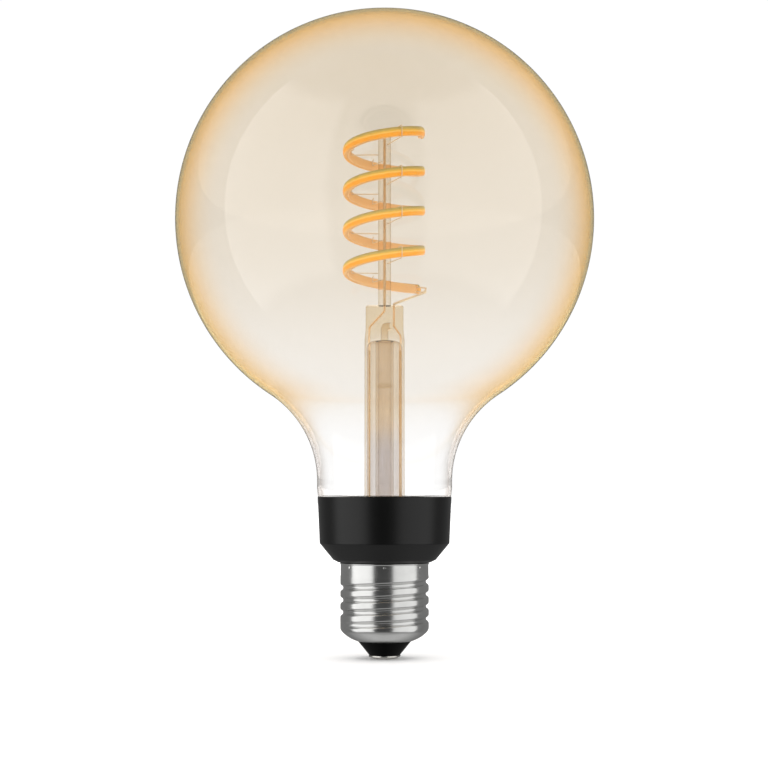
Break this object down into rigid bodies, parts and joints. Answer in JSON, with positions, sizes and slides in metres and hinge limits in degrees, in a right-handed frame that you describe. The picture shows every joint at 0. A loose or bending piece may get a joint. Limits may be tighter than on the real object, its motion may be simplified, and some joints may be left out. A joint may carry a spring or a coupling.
{
  "type": "smart light bulb",
  "caption": "Globe filament lamp with an amber-coated glass ball, a coiled LED filament on a glass stem, a black driver collar with a radio inside and an E27 screw cap.",
  "frame": {"origin": "tip of the centre contact, on the lamp's axis", "axes": "+Z along the lamp's axis from the cap up to the top of the ball; -Y is the front that the picture shows, +X is to its right"},
  "size_m": [0.125, 0.125, 0.1929],
  "materials": {
    "amber_glass": "gloss",
    "clear_glass": "gloss",
    "carrier_film": "matte",
    "led_die": "gloss",
    "phosphor_front": "satin",
    "phosphor_back": "matte",
    "nickel_wire": "satin",
    "dumet": "satin",
    "copper_wire": "satin",
    "black_plastic": "satin",
    "cement": "matte",
    "nickel_plate": "gloss",
    "black_glass": "gloss",
    "contact_metal": "satin",
    "board_green": "satin",
    "tin_plate": "satin",
    "chip_black": "matte",
    "can_sleeve": "satin",
    "resistor_body": "matte",
    "shrink_sleeve": "satin",
    "ferrite": "matte",
    "film_box": "satin",
    "ceramic": "matte",
    "red_wire": "satin",
    "black_wire": "satin"
  },
  "bodies": {
    "root": {"bridge_rectifier": "chip_black", "centre_contact": "contact_metal", "chip_capacitors": "ceramic", "chip_resistors": "chip_black", "choke_core": "ferrite", "choke_winding": "copper_wire", "collar_shell": "black_plastic", "driver_board": "board_green", "driver_chip": "chip_black", "e27_shell": "nickel_plate", "exhaust_tube": "clear_glass", "filament_carrier": "carrier_film", "film_capacitor": "film_box", "fuse_sleeve": "shrink_sleeve", "fusible_resistor": "resistor_body", "glass_globe": "amber_glass", "input_capacitor": "can_sleeve", "insulator": "black_glass", "led_chips": "led_die", "live_wire": "red_wire", "lower_dumet_seal": "dumet", "lower_feed_wire": "nickel_wire", "lower_outer_lead": "copper_wire", "lower_terminal": "nickel_wire", "neck_cement": "cement", "neutral_wire": "black_wire", "output_capacitor": "can_sleeve", "phosphor_back": "phosphor_back", "phosphor_front": "phosphor_front", "radio_antenna": "copper_wire", "radio_board": "board_green", "radio_chip": "chip_black", "radio_header": "chip_black", "radio_shield": "tin_plate", "stem_tube": "clear_glass", "support_hook_01": "nickel_wire", "support_hook_02": "nickel_wire", "support_hook_03": "nickel_wire", "support_hook_04": "nickel_wire", "support_hook_05": "nickel_wire", "support_hook_06": "nickel_wire", "support_hook_07": "nickel_wire", "support_hook_08": "nickel_wire", "support_hook_09": "nickel_wire", "support_hook_10": "nickel_wire", "support_hook_11": "nickel_wire", "support_hook_12": "nickel_wire", "support_rod": "clear_glass", "switching_transistor": "chip_black", "upper_dumet_seal": "dumet", "upper_feed_wire": "nickel_wire", "upper_outer_lead": "copper_wire", "upper_terminal": "nickel_wire"}
  },
  "joints": []
}
